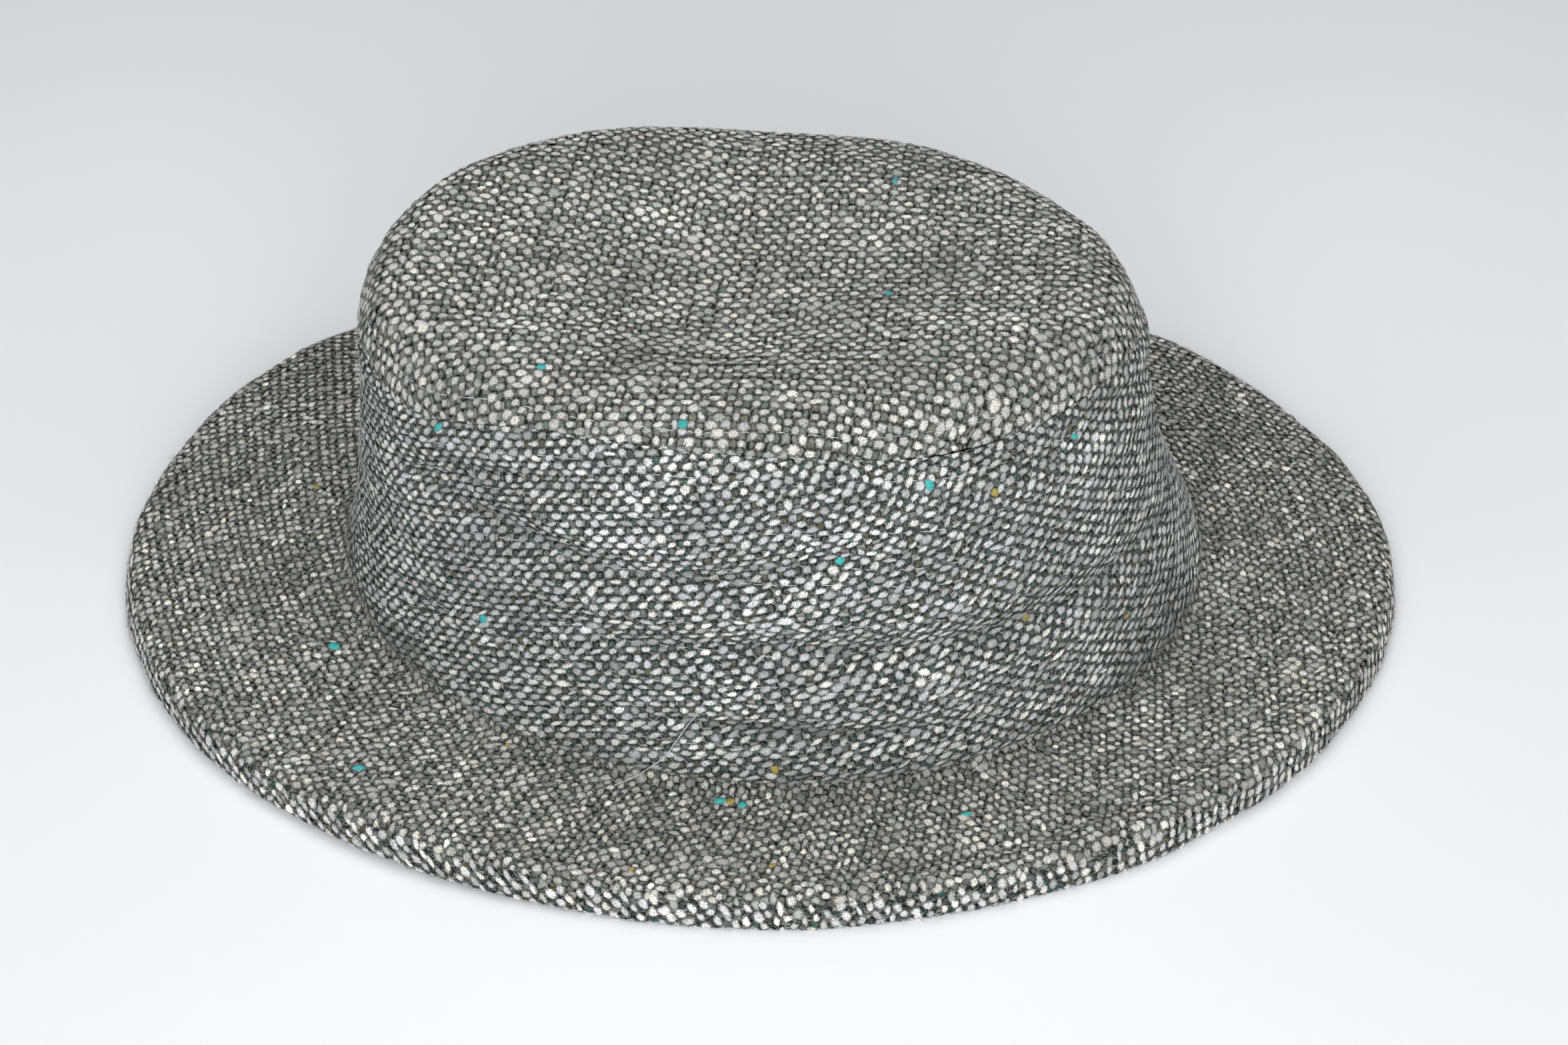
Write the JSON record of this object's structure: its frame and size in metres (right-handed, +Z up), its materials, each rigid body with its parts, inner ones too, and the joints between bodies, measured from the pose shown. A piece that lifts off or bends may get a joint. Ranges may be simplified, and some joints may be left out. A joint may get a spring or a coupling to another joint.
{
  "type": "fedora",
  "caption": "Soft sewn tweed fedora with an oval dished crown tip, a softly folded side wall and a wide brim with a turned-down hem, resting crown up.",
  "frame": {"origin": "middle of the hat's outline, on the surface that the brim rests on", "axes": "+X along the head oval, +Y away from the side that the picture shows, +Z up through the crown"},
  "size_m": [0.297, 0.2432, 0.0932],
  "materials": {
    "tweed_crown": "coarse plain weave of off-white and green-black wool, matt",
    "tweed_brim": "coarse plain weave of off-white and green-black wool, matt"
  },
  "bodies": {
    "root": {"brim": "tweed_brim", "crown_side": "tweed_crown", "crown_tip": "tweed_crown"}
  },
  "joints": []
}
